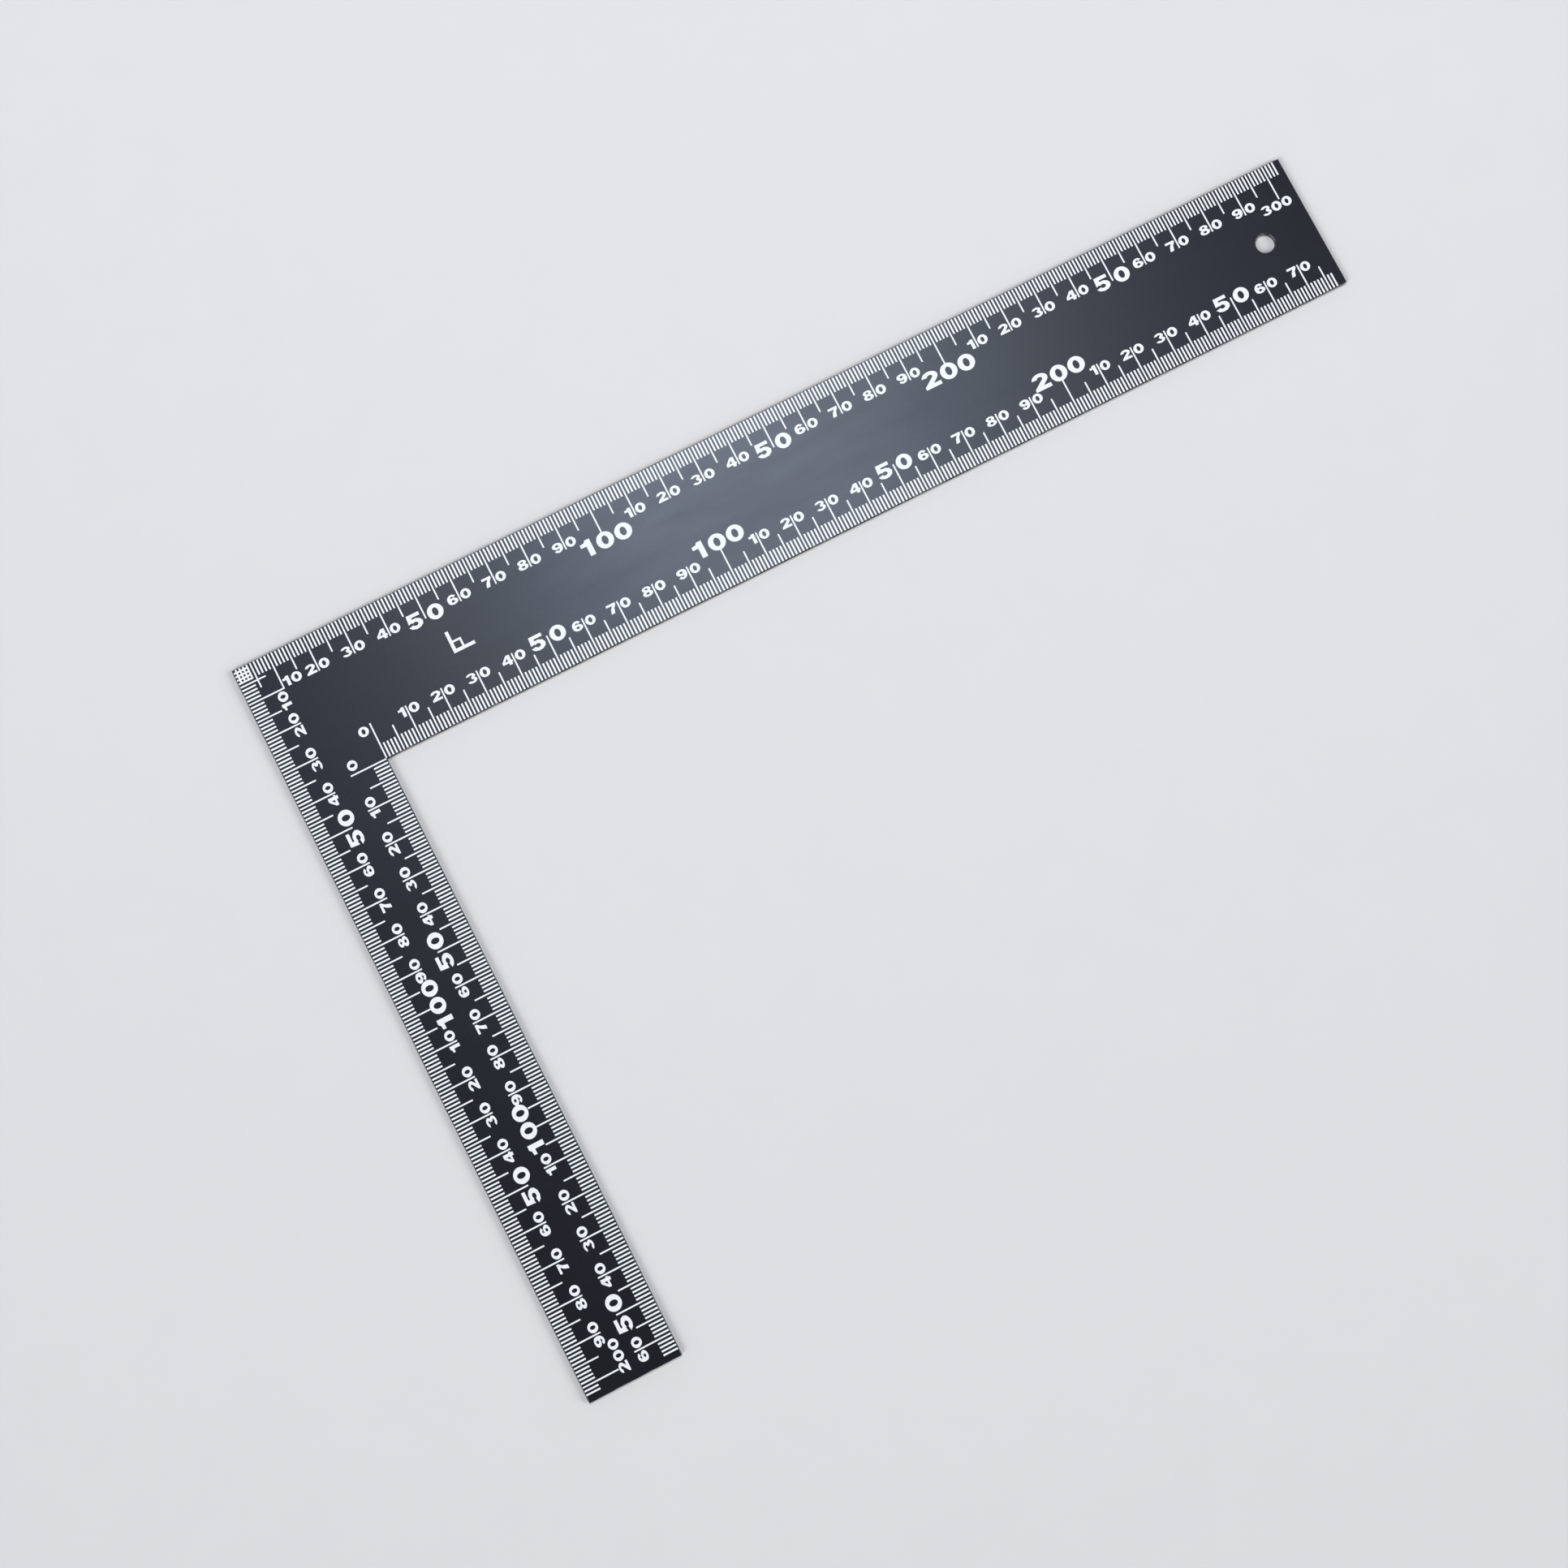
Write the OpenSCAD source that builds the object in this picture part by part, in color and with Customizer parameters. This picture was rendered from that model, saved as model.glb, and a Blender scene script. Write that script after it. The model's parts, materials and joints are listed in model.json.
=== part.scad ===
// Steel square ruler: an L of dark coated sheet steel with white millimetre scales on all
// four long edges. The long arm lies along +X and the short arm along -Y. The outer corner
// of the L, on the back face, is the origin. +Z points out of the graduated face.

/* [Sheet] */
// Outer length of the long arm
long_length = 305.2; // [200:0.1:610]
// Width of the long arm
long_width = 38.1; // [25:0.1:60]
// Outer length of the short arm
short_length = 204.1; // [100:0.1:410]
// Width of the short arm
short_width = 25.4; // [15:0.1:45]
// Thickness of the sheet
sheet = 1.2; // [0.8:0.1:2.5]
// Chamfer along every edge of both faces
edge_chamfer = 0.2; // [0.05:0.05:0.4]
// Radius of the corners at the free ends
corner_radius = 0.3; // [0.1:0.1:2]

/* [Hanging hole] */
// Diameter of the hole
hole_diameter = 5.1; // [3:0.1:8]
// Distance from the hole's centre to the end of the long arm
hole_from_end = 14.3; // [8:0.1:20]
// Chamfer around both mouths of the hole
hole_chamfer = 0.25; // [0.1:0.05:0.4]

/* [Graduations] */
// Height of the enamel above the sheet
enamel = 0.05; // [0.02:0.01:0.1]
// Gap between the outer edges and the ends of the marks
mark_inset = 0.22; // [0.2:0.01:0.5]
// Stroke width of the millimetre marks
fine_stroke = 0.46; // [0.2:0.01:0.6]
// Stroke width of the 5 and 10 mm marks
main_stroke = 0.4; // [0.2:0.01:0.6]
// Reach of a millimetre mark from the edge
reach_1 = 4; // [2:0.1:6]
// Reach of a 5 mm mark from the edge
reach_5 = 7; // [5:0.1:9]
// Reach of a 10 mm mark from the edge
reach_10 = 10; // [8:0.1:14]
// Last millimetre marked on the outer edge of the long arm
outer_long_last = 303; // [100:1:600]
// Last millimetre marked on the inner edge of the long arm
inner_long_last = 277; // [100:1:560]
// Last millimetre marked on the outer edge of the short arm
outer_short_last = 202; // [100:1:400]
// Last millimetre marked on the inner edge of the short arm
inner_short_last = 164; // [100:1:360]

/* [Numerals] */
// Height of the small numerals
small_height = 2.65; // [1.5:0.05:3.5]
// Height of the numerals at each 50 mm
fifty_height = 4.15; // [3:0.05:5]
// Height of the numerals at each 100 mm on the long arm
hundred_height = 4.5; // [3:0.05:5]
// Width of a numeral as a share of its height
numeral_width = 1.04; // [0.7:0.01:1.2]
// Gap between a mark and the numeral beside it, as a share of the height
mark_gap = 0.18; // [0.1:0.01:0.3]
// Gap between two numerals of a label of three, as a share of the height
numeral_gap = 0.11; // [0.05:0.01:0.3]
// Extra gap after the narrow numeral one in a label of three, as a share of the height
one_gap = 0.17; // [0:0.01:0.3]
// Distance from the first 10 mm marks to their labels
ten_start = 0.5; // [0.2:0.1:2]
// How far the last label of the outer long scale runs past its mark
long_last_label = 2.9; // [0:0.1:4]
// How far the last label of the outer short scale stands back over its mark
short_last_label = 7.4; // [5:0.1:9]
// Gap between a zero mark and its own numeral
zero_gap = 0.95; // [0.5:0.05:2]
// Line of the numerals' feet on the outer edge of the long arm, from that edge
outer_long_foot = 10; // [8:0.05:14]
// Line of the numerals' feet on the inner edge of the long arm, from that edge
inner_long_foot = 7.5; // [5:0.05:10]
// Line of the numerals' feet on the outer edge of the short arm, from that edge
outer_short_foot = 10.15; // [8:0.05:14]
// Line of the numerals' feet on the inner edge of the short arm, from that edge
inner_short_foot = 7.3; // [5:0.05:10]

/* [Angle symbol] */
// Distance of the symbol's corner from the outer edge of the short arm
symbol_x = 52.5; // [30:0.5:200]
// Distance of the symbol's corner from the outer edge of the long arm
symbol_y = 21.5; // [14:0.5:26]
// Length of the symbol's two strokes
symbol_size = 6; // [3:0.5:8]
// Stroke width of the symbol
symbol_stroke = 0.9; // [0.3:0.1:1.5]

/* [Hidden] */
coat = [0.07, 0.07, 0.085];
ink = [0.92, 0.94, 0.96];
steps = 9;
ring_steps = 20;
cut = 1;
grid_count = 4;
corner_last = 10;
inner_reach = 0.12;

// ---- sheet ----

// Cross-section of a bar of the sheet with its four edges chamfered
function bar_profile(w) = [
  [edge_chamfer, 0],
  [w - edge_chamfer, 0],
  [w, edge_chamfer],
  [w, sheet - edge_chamfer],
  [w - edge_chamfer, sheet],
  [edge_chamfer, sheet],
  [0, sheet - edge_chamfer],
  [0, edge_chamfer]
];

// Points of a quarter circle, used to round a corner of the outline
function quarter(cx, cy, from) = [
  for (i = [0 : 6])
    let (t = from + 15 * i) [cx + corner_radius * cos(t), cy + corner_radius * sin(t)]
];

// Bar from the origin towards +X and -Y
module bar(l, w) {
  intersection() {
    rotate([90, 0, 0])
      linear_extrude(height = w)
        polygon(bar_profile(l));
    translate([0, -w, 0])
      rotate([90, 0, 90])
        linear_extrude(height = l)
          polygon(bar_profile(w));
  }
}

// Outline that rounds the corners at the free ends of both arms and clears the rest
module outline() {
  r = corner_radius;
  polygon(concat(
    [[-cut, cut], [-cut, -short_length / 2]],
    quarter(r, r - short_length, 180),
    quarter(short_width - r, r - short_length, 270),
    [[short_width + cut, -short_length / 2], [short_width + cut, -long_width - cut]],
    [[long_length / 2, -long_width - cut]],
    quarter(long_length - r, r - long_width, 270),
    quarter(long_length - r, -r, 0),
    [[long_length / 2, cut]]
  ));
}

module hanging_hole() {
  translate([long_length - hole_from_end, -long_width / 2, 0]) {
    translate([0, 0, -cut])
      cylinder(h = sheet + 2 * cut, d = hole_diameter, $fn = 96);
    translate([0, 0, sheet - hole_chamfer])
      cylinder(h = hole_chamfer + cut, d1 = hole_diameter,
               d2 = hole_diameter + 2 * (hole_chamfer + cut), $fn = 96);
    translate([0, 0, -cut])
      cylinder(h = hole_chamfer + cut, d1 = hole_diameter + 2 * (hole_chamfer + cut),
               d2 = hole_diameter, $fn = 96);
  }
}

module square_plate() {
  color(coat)
    difference() {
      intersection() {
        union() {
          bar(long_length, long_width);
          bar(short_width, short_length);
        }
        translate([0, 0, -cut])
          linear_extrude(height = sheet + 2 * cut)
            outline();
      }
      hanging_hole();
    }
}

// ---- graduations ----

// Distance a mark reaches from its edge
function reach(mm) = mm % 10 == 0 ? reach_10 : mm % 5 == 0 ? reach_5 : reach_1;

// Stroke width of a mark
function stroke(mm) = mm % 5 == 0 ? main_stroke : fine_stroke;

// Enamel box between two corners
module enamel_box(x0, y0, x1, y1) {
  translate([x0, y0, sheet])
    cube([x1 - x0, y1 - y0, enamel]);
}

// Mark across the long arm, centred on x, between two heights
module upright_mark(x, y0, y1, w) {
  enamel_box(x - w / 2, y0, x + w / 2, y1);
}

// Mark across the short arm, centred on y, between two depths
module level_mark(y, x0, x1, w) {
  enamel_box(x0, y - w / 2, x1, y + w / 2);
}

module corner_grid() {
  color(ink)
    union() {
      for (i = [1 : grid_count]) {
        upright_mark(i, -reach_1 - fine_stroke / 2, -mark_inset, fine_stroke);
        level_mark(-i, mark_inset, reach_1 + fine_stroke / 2, fine_stroke);
      }
      for (i = [5, corner_last]) {
        upright_mark(i, -reach(i) - main_stroke / 2, -mark_inset, main_stroke);
        level_mark(-i, mark_inset, reach(i) + main_stroke / 2, main_stroke);
      }
    }
}

module outer_long_graduations() {
  color(ink)
    for (mm = [grid_count + 2 : outer_long_last])
      if (mm != corner_last)
        upright_mark(mm, -reach(mm), -mark_inset, stroke(mm));
}

module inner_long_graduations() {
  foot = -long_width + edge_chamfer;
  color(ink)
    for (mm = [0 : inner_long_last])
      upright_mark(short_width + mm, foot, -long_width + reach(mm) + inner_reach, stroke(mm));
}

module outer_short_graduations() {
  color(ink)
    for (mm = [grid_count + 2 : outer_short_last])
      if (mm != corner_last)
        level_mark(-mm, mark_inset, mm == 100 ? outer_short_foot - small_height : reach(mm),
                   stroke(mm));
}

module inner_short_graduations() {
  side = short_width - edge_chamfer;
  color(ink)
    for (mm = [0 : inner_short_last])
      level_mark(-long_width - mm,
                 mm == 100 ? short_width - inner_short_foot : short_width - reach(mm) - inner_reach,
                 side, stroke(mm));
}

// ---- numerals, drawn one unit high with their foot on the X axis ----

// Points of an elliptical arc
function arc(cx, cy, rx, ry, from, to, count) = [
  for (i = [0 : count])
    let (t = from + (to - from) * i / count) [cx + rx * cos(t), cy + ry * sin(t)]
];

// Open band between two elliptical arcs of one centre
function band(cx, cy, outer, inner, from, to) = concat(
  arc(cx, cy, outer[0], outer[1], from, to, steps),
  arc(cx, cy, inner[0], inner[1], to, from, steps)
);

// Closed ring between two ellipses of one centre
module ring(cx, cy, outer, inner) {
  last = ring_steps - 1;
  turn = 360 * last / ring_steps;
  polygon(
    points = concat(
      arc(cx, cy, outer[0], outer[1], 0, turn, last),
      arc(cx, cy, inner[0], inner[1], 0, turn, last)
    ),
    paths = [[for (i = [0 : last]) i], [for (i = [0 : last]) i + ring_steps]]
  );
}

module numeral_0() {
  ring(0.52, 0.5, [0.52, 0.5], [0.19, 0.27]);
}

module numeral_1() {
  polygon([
    [0.66, 0], [0.66, 1], [0.37, 1], [0.26, 0.87], [0, 0.83], [0, 0.63], [0.33, 0.63], [0.33, 0]
  ]);
}

module numeral_2() {
  polygon(concat(
    arc(0.51, 0.68, 0.5, 0.32, 175, -40, steps),
    [[0.56, 0.23], [1.02, 0.23], [1.02, 0], [0, 0], [0, 0.17]],
    arc(0.51, 0.68, 0.17, 0.11, -40, 175, steps)
  ));
}

module numeral_3() {
  polygon(band(0.5, 0.72, [0.48, 0.28], [0.17, 0.085], 165, -90));
  polygon(band(0.51, 0.3, [0.51, 0.3], [0.19, 0.1], 90, -165));
}

module numeral_4() {
  polygon(
    points = [
      [0.6, 0], [0.93, 0], [0.93, 0.2], [1.04, 0.2], [1.04, 0.41], [0.93, 0.41], [0.93, 1],
      [0.55, 1], [0, 0.44], [0, 0.2], [0.6, 0.2], [0.6, 0.41], [0.6, 0.72], [0.29, 0.41]
    ],
    paths = [[for (i = [0 : 10]) i], [11, 12, 13]]
  );
}

module numeral_5() {
  polygon([
    [0.13, 1], [0.97, 1], [0.97, 0.78], [0.4, 0.78], [0.38, 0.62], [0.42, 0.5], [0.08, 0.43]
  ]);
  polygon(band(0.51, 0.34, [0.5, 0.34], [0.18, 0.13], 140, -165));
}

module numeral_6() {
  ring(0.53, 0.32, [0.51, 0.32], [0.17, 0.12]);
  polygon(band(0.52, 0.5, [0.52, 0.5], [0.19, 0.3], 205, 35));
}

module numeral_7() {
  polygon([
    [0.03, 1], [1, 1], [1, 0.8], [0.75, 0.5], [0.6, 0], [0.22, 0], [0.36, 0.44], [0.62, 0.77],
    [0.03, 0.77]
  ]);
}

module numeral_8() {
  ring(0.52, 0.74, [0.45, 0.26], [0.15, 0.09]);
  ring(0.52, 0.29, [0.52, 0.29], [0.18, 0.11]);
}

module numeral_9() {
  translate([numeral_width, 1])
    rotate([0, 0, 180])
      numeral_6();
}

// Numeral of a given value, its left side at x
module numeral(value, x, h) {
  translate([x, 0])
    scale([h, h]) {
      if (value == 0) numeral_0();
      if (value == 1) numeral_1();
      if (value == 2) numeral_2();
      if (value == 3) numeral_3();
      if (value == 4) numeral_4();
      if (value == 5) numeral_5();
      if (value == 6) numeral_6();
      if (value == 7) numeral_7();
      if (value == 8) numeral_8();
      if (value == 9) numeral_9();
    }
}

// Width of a numeral as a share of its height
function width_of(value) = value == 1 ? 0.66 : numeral_width;

// Two numerals on either side of a mark at x = 0
module straddling(tens, h) {
  gap = mark_gap * h;
  tens_gap = tens == 1 ? 1.3 * gap : gap;
  numeral(tens, -tens_gap - width_of(tens) * h, h);
  numeral(0, gap, h);
}

// The number ten, its left side at x
module ten(x) {
  numeral(1, x, small_height);
  numeral(0, x + (width_of(1) + mark_gap) * small_height, small_height);
}

// Three numerals with the middle one centred on a mark at x = 0
module centred(hundreds, h) {
  pitch = (numeral_width + numeral_gap) * h;
  near = width_of(hundreds) + numeral_gap + (hundreds == 1 ? one_gap : 0);
  numeral(hundreds, -(numeral_width / 2 + near) * h, h);
  numeral(0, -numeral_width / 2 * h, h);
  numeral(0, -numeral_width / 2 * h + pitch, h);
}

// Three small numerals that end at x
module ending(hundreds, x) {
  pitch = (numeral_width + numeral_gap) * small_height;
  start = x - 2 * pitch - numeral_width * small_height;
  numeral(hundreds, start, small_height);
  numeral(0, start + pitch, small_height);
  numeral(0, start + 2 * pitch, small_height);
}

// Two-numeral label of a mark; each 50 mm is larger and hangs or rises from the small ones
module tens_label(mm, drop) {
  tens = (mm % 100) / 10;
  h = tens == 5 ? fifty_height : small_height;
  translate([0, tens == 5 ? -drop : 0])
    straddling(tens, h);
}

module raised() {
  translate([0, 0, sheet])
    linear_extrude(height = enamel)
      children();
}

module outer_long_numerals() {
  color(ink)
    raised()
      translate([0, -outer_long_foot]) {
        translate([corner_last, 0])
          ten(ten_start);
        for (mm = [20 : 10 : 290])
          if (mm % 100 != 0)
            translate([mm, 0])
              tens_label(mm, fifty_height - small_height);
        for (mm = [100, 200])
          translate([mm, -hundred_height])
            centred(mm / 100, hundred_height);
        translate([300, -small_height])
          ending(3, long_last_label);
      }
}

module inner_long_numerals() {
  color(ink)
    raised()
      translate([short_width, -long_width + inner_long_foot]) {
        numeral(0, -zero_gap - numeral_width * small_height, small_height);
        for (mm = [10 : 10 : 270])
          if (mm % 100 != 0)
            translate([mm, 0])
              tens_label(mm, 0);
        for (mm = [100, 200])
          translate([mm, small_height])
            centred(mm / 100, hundred_height);
      }
}

module outer_short_numerals() {
  drop = fifty_height - small_height;
  color(ink)
    raised()
      translate([outer_short_foot, 0])
        rotate([0, 0, 90]) {
          translate([-corner_last, 0])
            ten(-ten_start - (width_of(1) + mark_gap + numeral_width) * small_height);
          for (mm = [20 : 10 : 190])
            if (mm != 100)
              translate([-mm, 0])
                tens_label(mm, drop);
          translate([-100, -drop])
            centred(1, fifty_height);
          translate([-200, -small_height])
            ending(2, short_last_label);
        }
}

module inner_short_numerals() {
  color(ink)
    raised()
      translate([short_width - inner_short_foot, -long_width])
        rotate([0, 0, 90]) {
          numeral(0, zero_gap, small_height);
          for (mm = [10 : 10 : 160])
            if (mm != 100)
              translate([-mm, 0])
                tens_label(mm, 0);
          translate([-100, 0])
            centred(1, fifty_height);
        }
}

// ---- plain right-angle symbol ----

module angle_symbol() {
  box = symbol_size * 0.45;
  thin = symbol_stroke * 0.6;
  color(ink)
    union() {
      enamel_box(symbol_x, -symbol_y, symbol_x + symbol_size, -symbol_y + symbol_stroke);
      enamel_box(symbol_x, -symbol_y, symbol_x + symbol_stroke, -symbol_y + symbol_size);
      enamel_box(symbol_x, -symbol_y + box, symbol_x + box + thin, -symbol_y + box + thin);
      enamel_box(symbol_x + box, -symbol_y, symbol_x + box + thin, -symbol_y + box + thin);
    }
}

square_plate();
corner_grid();
outer_long_graduations();
outer_long_numerals();
inner_long_graduations();
inner_long_numerals();
outer_short_graduations();
outer_short_numerals();
inner_short_graduations();
inner_short_numerals();
angle_symbol();
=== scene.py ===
import json
import math

import bpy
from mathutils import Matrix, Vector


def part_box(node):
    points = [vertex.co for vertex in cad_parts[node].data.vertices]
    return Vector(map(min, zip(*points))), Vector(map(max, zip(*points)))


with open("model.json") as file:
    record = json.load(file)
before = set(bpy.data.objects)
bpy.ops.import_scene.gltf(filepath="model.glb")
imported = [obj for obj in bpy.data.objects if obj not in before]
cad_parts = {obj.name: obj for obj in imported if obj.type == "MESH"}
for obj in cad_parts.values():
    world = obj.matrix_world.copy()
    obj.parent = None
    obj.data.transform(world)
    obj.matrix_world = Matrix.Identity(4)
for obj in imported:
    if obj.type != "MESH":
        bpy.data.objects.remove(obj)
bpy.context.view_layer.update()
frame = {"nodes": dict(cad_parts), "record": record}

MM = 0.001
plate_low, plate_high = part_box("square_plate")
TOP = plate_high.z
FREE_END = plate_high.x

# Camera: nearly straight down on the sheet, turned so that the long arm rises to the right
CAMERA_AIM = Vector((0.11215, -0.08953, TOP))
CAMERA_DISTANCE = 0.56709
CAMERA_AZIMUTH = math.radians(-126.212)
CAMERA_ELEVATION = math.radians(82.3935)
CAMERA_ROLL = math.radians(9.176)
CAMERA_LENS = 51.24

# Lights: a small key above the long arm for the sheen, two soft washes, pale surroundings
LIT_POINT = Vector((0.13, -0.04, TOP))
KEY_PLACE = Vector((0.29, 0.33, 1.25))
KEY_SIZE = (0.24, 0.18)
KEY_POWER = 6.4
KEY_TINT = (0.95, 0.97, 1.0)
WASH_FROM = {"soft_left": Vector((-1.4, -0.6, 1.0)), "soft_right": Vector((1.5, -0.8, 0.9))}
WASH_ENERGY = 1.65
WASH_ANGLE = 0.5
ROOM_COLOUR = (0.93, 0.96, 1.0, 1)
ROOM_FADE = {"From Min": 0.10, "From Max": 0.75, "To Min": 0.80, "To Max": 0.05}
FLOOR_SIZE = 60


class Tree:
    """Short way to write a material's nodes."""

    def __init__(self, name):
        self.mat = bpy.data.materials.new(name)
        self.mat.use_nodes = True
        self.nodes = self.mat.node_tree.nodes
        self.links = self.mat.node_tree.links
        self.nodes.clear()
        out = self.nodes.new("ShaderNodeOutputMaterial")
        self.shader = self.nodes.new("ShaderNodeBsdfPrincipled")
        self.link(self.shader.outputs[0], out.inputs[0])
        self.coord = self.nodes.new("ShaderNodeTexCoord")

    def link(self, a, b):
        self.links.new(a, b)

    def noise(self, scale, detail=3.0, rough=0.5, stretch=(1, 1, 1)):
        mapping = self.nodes.new("ShaderNodeMapping")
        mapping.inputs["Scale"].default_value = stretch
        self.link(self.coord.outputs["Object"], mapping.inputs["Vector"])
        texture = self.nodes.new("ShaderNodeTexNoise")
        texture.inputs["Scale"].default_value = scale
        texture.inputs["Detail"].default_value = detail
        texture.inputs["Roughness"].default_value = rough
        self.link(mapping.outputs[0], texture.inputs["Vector"])
        return texture.outputs["Fac"]

    def axis(self, coordinate, letter):
        parts = self.nodes.new("ShaderNodeSeparateXYZ")
        self.link(self.coord.outputs[coordinate], parts.inputs[0])
        return parts.outputs[letter]

    def remap(self, value, low, high, out_low, out_high):
        node = self.nodes.new("ShaderNodeMapRange")
        node.inputs["From Min"].default_value = low
        node.inputs["From Max"].default_value = high
        node.inputs["To Min"].default_value = out_low
        node.inputs["To Max"].default_value = out_high
        self.link(value, node.inputs["Value"])
        return node.outputs[0]

    def math(self, operation, *values):
        node = self.nodes.new("ShaderNodeMath")
        node.operation = operation
        for socket, value in zip(node.inputs, values):
            self.link(value, socket)
        return node.outputs[0]

    def mix(self, factor, a, b):
        node = self.nodes.new("ShaderNodeMix")
        node.data_type = "RGBA"
        self.link(factor, node.inputs["Factor"])
        colours = [s for s in node.inputs if s.type == "RGBA"]
        for socket, value in zip(colours, (a, b)):
            if isinstance(value, tuple):
                socket.default_value = (*value, 1)
            else:
                self.link(value, socket)
        return [s for s in node.outputs if s.type == "RGBA"][0]

    def bump(self, *layers):
        """Stacks (height, strength, distance) layers on the shader's normal."""
        normal = None
        for height, strength, distance in layers:
            node = self.nodes.new("ShaderNodeBump")
            node.inputs["Strength"].default_value = strength
            node.inputs["Distance"].default_value = distance
            self.link(height, node.inputs["Height"])
            if normal is not None:
                self.link(normal, node.inputs["Normal"])
            normal = node.outputs[0]
        self.link(normal, self.shader.inputs["Normal"])


def wear_and_edge_highlight_mask(t):
    """Wear and a painted edge highlight on the chamfers, whose normals slope, and more of both at the
    long arm's free end.
    """
    slope = t.math("ABSOLUTE", t.axis("Normal", "Z"))
    sloping = t.math("MULTIPLY", t.remap(slope, 0.45, 0.6, 0, 1), t.remap(slope, 0.82, 0.95, 1, 0))
    along = t.axis("Object", "X")
    # Brighter steel towards the free end: partly wear, partly a painted highlight on the end chamfer.
    free_end_wear_and_highlight = t.remap(along, FREE_END - 1.2 * MM, FREE_END - 0.4 * MM, 0.0, 0.45)
    patches = t.remap(t.noise(420, 3, 0.7), 0.45, 0.7, 0.0, 0.3)
    return t.math("MULTIPLY", sloping, t.math("ADD", patches, free_end_wear_and_highlight))


def coated_steel():
    """Satin black coating: fine grain, slow gloss changes, faint rubbing, steel bare on the edges as
    partly wear, partly a painted edge highlight.
    """
    t = Tree("satin_black_coating")
    grain = t.noise(2600, 2, 0.6)
    cloud = t.noise(22, 4, 0.55)
    rub = t.noise(160, 4, 0.6, stretch=(0.25, 1, 1))
    wear_and_highlight = wear_and_edge_highlight_mask(t)

    dark, light = (0.0030, 0.0032, 0.0052), (0.0042, 0.0045, 0.0068)
    shade = t.mix(t.remap(cloud, 0.35, 0.65, 0, 1), dark, light)
    speck = t.mix(t.remap(grain, 0.3, 0.75, 0, 1), shade, (0.0080, 0.0084, 0.0120))
    steel = (0.62, 0.64, 0.67)
    # Steel colour painted on the chamfers: partly wear, partly a painted edge highlight.
    t.link(t.mix(wear_and_highlight, speck, steel), t.shader.inputs["Base Color"])
    t.link(wear_and_highlight, t.shader.inputs["Metallic"])

    gloss = t.math("ADD", t.remap(cloud, 0.3, 0.7, 0.345, 0.36), t.remap(rub, 0.35, 0.7, -0.006, 0.012))
    t.link(gloss, t.shader.inputs["Roughness"])
    t.bump((grain, 0.16, 0.03 * MM), (t.noise(900, 3, 0.5), 0.10, 0.05 * MM))
    t.shader.inputs["Specular IOR Level"].default_value = 0.5
    t.shader.inputs["Specular Tint"].default_value = (0.74, 0.83, 1.0, 1)
    return t.mat


def white_enamel():
    """Printed enamel: cool white, slightly uneven coverage with pinholes, fine surface grain."""
    t = Tree("white_enamel")
    cover = t.noise(700, 4, 0.6)
    grain = t.noise(4200, 2, 0.6)
    white = t.mix(t.remap(cover, 0.35, 0.7, 0, 1), (0.80, 0.84, 0.88), (0.90, 0.925, 0.95))
    pinholes = t.remap(grain, 0.24, 0.32, 0.35, 0.0)
    t.link(t.mix(pinholes, white, (0.45, 0.47, 0.50)), t.shader.inputs["Base Color"])
    t.link(t.remap(cover, 0.3, 0.7, 0.40, 0.55), t.shader.inputs["Roughness"])
    t.bump((grain, 0.2, 0.02 * MM))
    return t.mat


def pale_floor():
    t = Tree("pale_floor")
    colour = t.mix(t.noise(60, 4, 0.6), (0.70, 0.70, 0.705), (0.72, 0.72, 0.725))
    t.link(colour, t.shader.inputs["Base Color"])
    t.shader.inputs["Roughness"].default_value = 0.85
    return t.mat


def dress_nodes():
    """Gives the sheet its coating and every printed node its enamel, all flat shaded."""
    coating = coated_steel()
    enamel = white_enamel()
    for name, piece in frame["nodes"].items():
        piece.data.materials.clear()
        piece.data.materials.append(coating if name == "square_plate" else enamel)
        for face in piece.data.polygons:
            face.use_smooth = False


def smooth_hole():
    """Shades the hanging hole's round wall smoothly; every other face of the sheet is flat."""
    hole = next(m for m in frame["record"]["mounts"] if m["name"] == "hang_hole")
    axis_at = Vector(hole["pos_m"][:2])
    reach = (hole["dims"]["r_mm"] + 0.65) * MM
    for face in frame["nodes"]["square_plate"].data.polygons:
        upright = abs(face.normal.z) < 0.1
        if upright and (Vector(face.center[:2]) - axis_at).length < reach:
            face.use_smooth = True


def add_floor():
    centre = (0.12, -0.08, plate_low.z)
    bpy.ops.mesh.primitive_plane_add(size=FLOOR_SIZE, location=centre)
    floor = bpy.context.object
    floor.name = "floor"
    floor.data.materials.append(pale_floor())


def add_lamp(name, data, place, toward):
    """Places a lamp that shines along -toward."""
    lamp = bpy.data.objects.new(name, data)
    lamp.location = place
    lamp.rotation_euler = toward.to_track_quat("Z", "Y").to_euler()
    bpy.context.scene.collection.objects.link(lamp)


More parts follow.
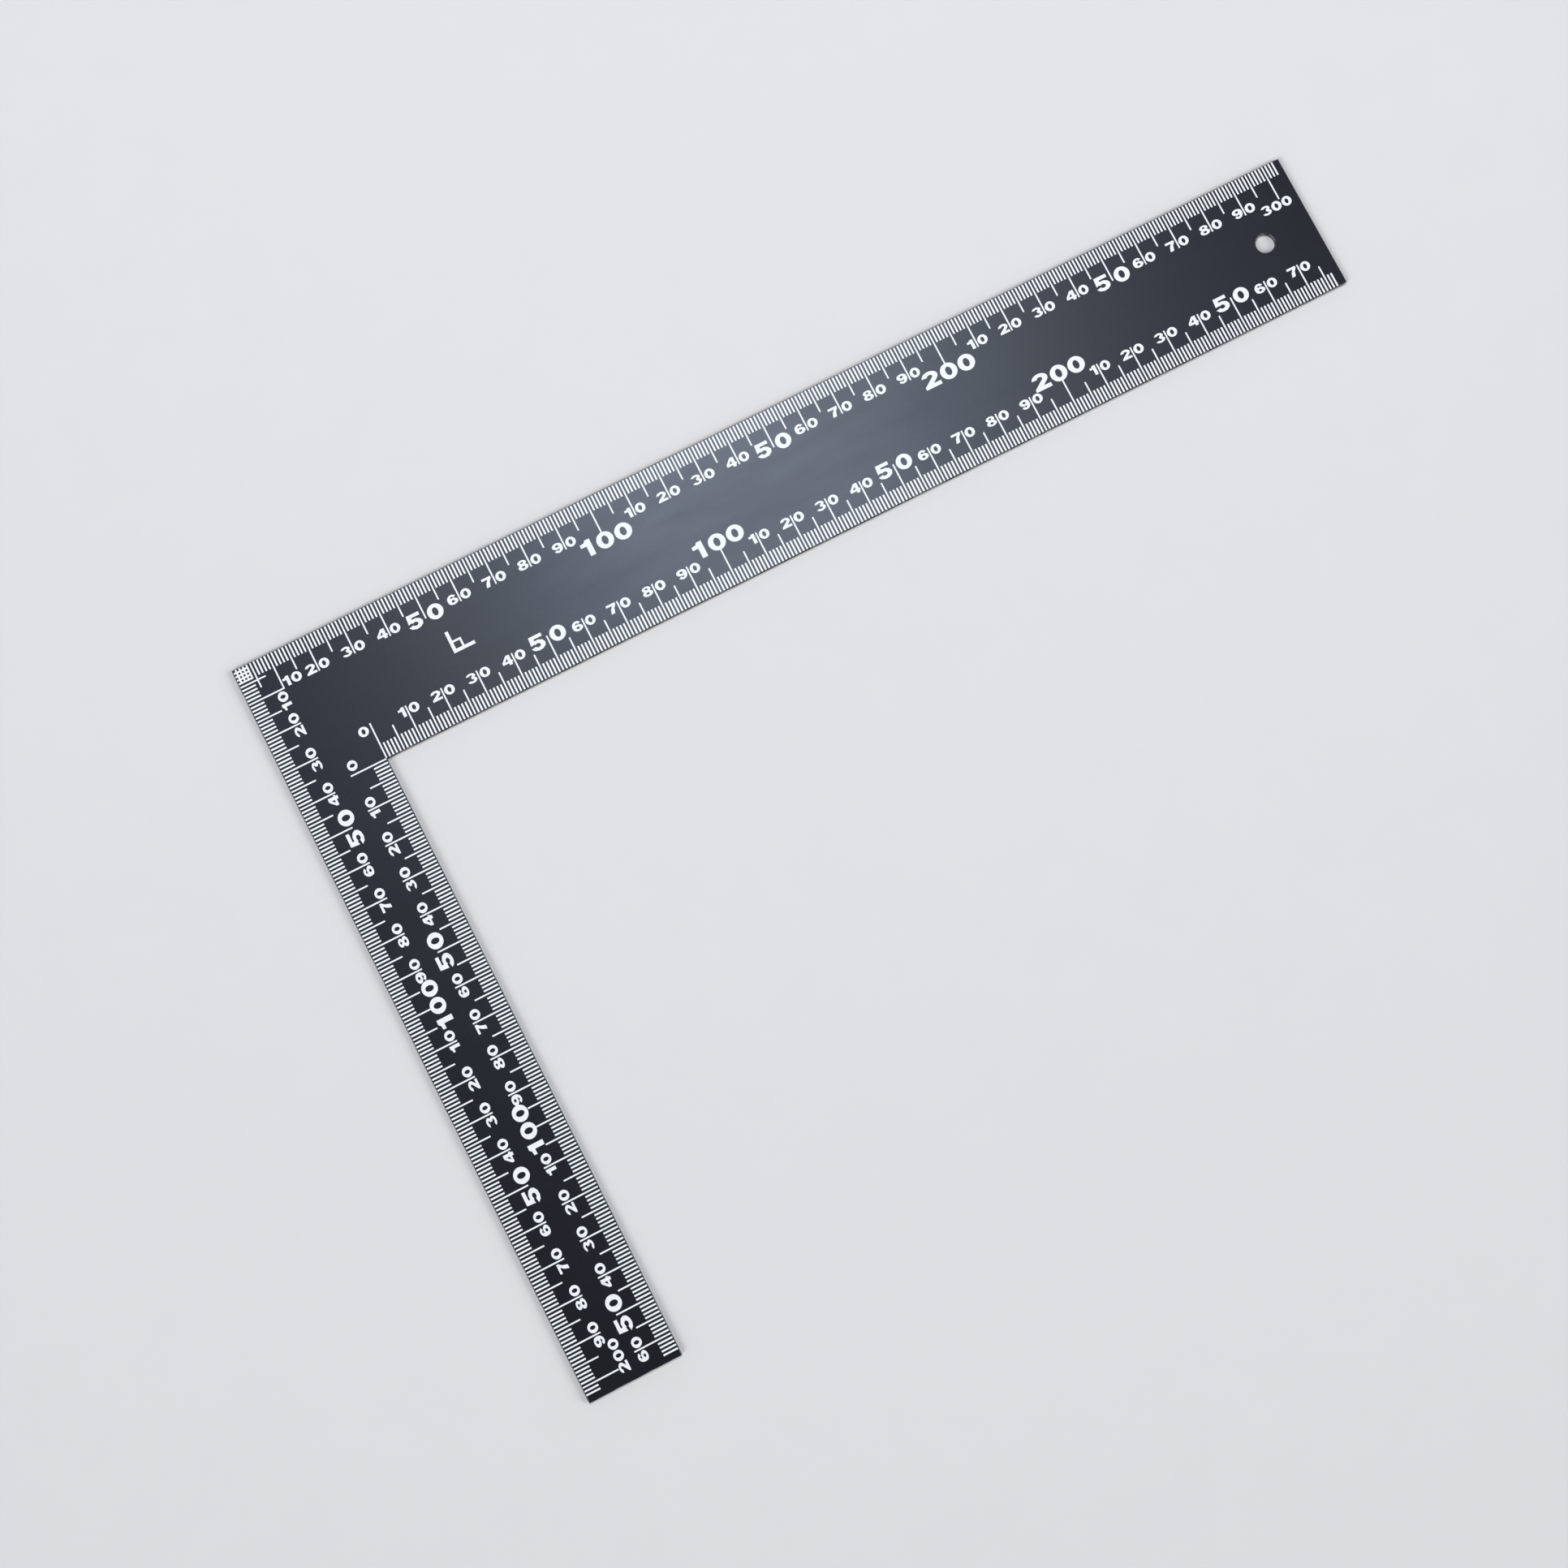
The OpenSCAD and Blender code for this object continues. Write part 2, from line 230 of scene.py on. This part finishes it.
def add_lights():
    key = bpy.data.lights.new("key", "AREA")
    key.shape = "RECTANGLE"
    key.size, key.size_y = KEY_SIZE
    key.energy = KEY_POWER
    key.color = KEY_TINT
    add_lamp("key", key, KEY_PLACE, KEY_PLACE - LIT_POINT)
    for name, toward in WASH_FROM.items():
        wash = bpy.data.lights.new(name, "SUN")
        wash.energy = WASH_ENERGY
        wash.angle = WASH_ANGLE
        add_lamp(name, wash, Vector(), toward)


def add_room():
    """Surroundings pale at eye level and dim overhead, so the satin sheet keeps its depth."""
    world = bpy.data.worlds.new("studio")
    bpy.context.scene.world = world
    world.use_nodes = True
    nodes, links = world.node_tree.nodes, world.node_tree.links
    background = nodes["Background"]
    background.inputs["Color"].default_value = ROOM_COLOUR
    height = nodes.new("ShaderNodeSeparateXYZ")
    links.new(nodes.new("ShaderNodeTexCoord").outputs["Generated"], height.inputs[0])
    fade = nodes.new("ShaderNodeMapRange")
    fade.interpolation_type = "SMOOTHSTEP"
    for key, value in ROOM_FADE.items():
        fade.inputs[key].default_value = value
    links.new(height.outputs["Z"], fade.inputs["Value"])
    links.new(fade.outputs[0], background.inputs["Strength"])


def add_camera():
    out = Vector((
        math.cos(CAMERA_ELEVATION) * math.cos(CAMERA_AZIMUTH),
        math.cos(CAMERA_ELEVATION) * math.sin(CAMERA_AZIMUTH),
        math.sin(CAMERA_ELEVATION),
    ))
    level = Vector((0, 0, 1)).cross(out).normalized()
    across = Matrix.Rotation(CAMERA_ROLL, 3, out) @ level
    turn = Matrix((across, out.cross(across), out)).transposed().to_4x4()
    data = bpy.data.cameras.new("camera")
    data.lens = CAMERA_LENS
    data.sensor_width = 36
    data.clip_start = 0.01
    camera = bpy.data.objects.new("camera", data)
    camera.matrix_world = Matrix.Translation(CAMERA_AIM + CAMERA_DISTANCE * out) @ turn
    bpy.context.scene.collection.objects.link(camera)
    bpy.context.scene.camera = camera


dress_nodes()
smooth_hole()
add_floor()
add_room()
add_lights()
add_camera()
bpy.context.scene.view_settings.view_transform = "Standard"
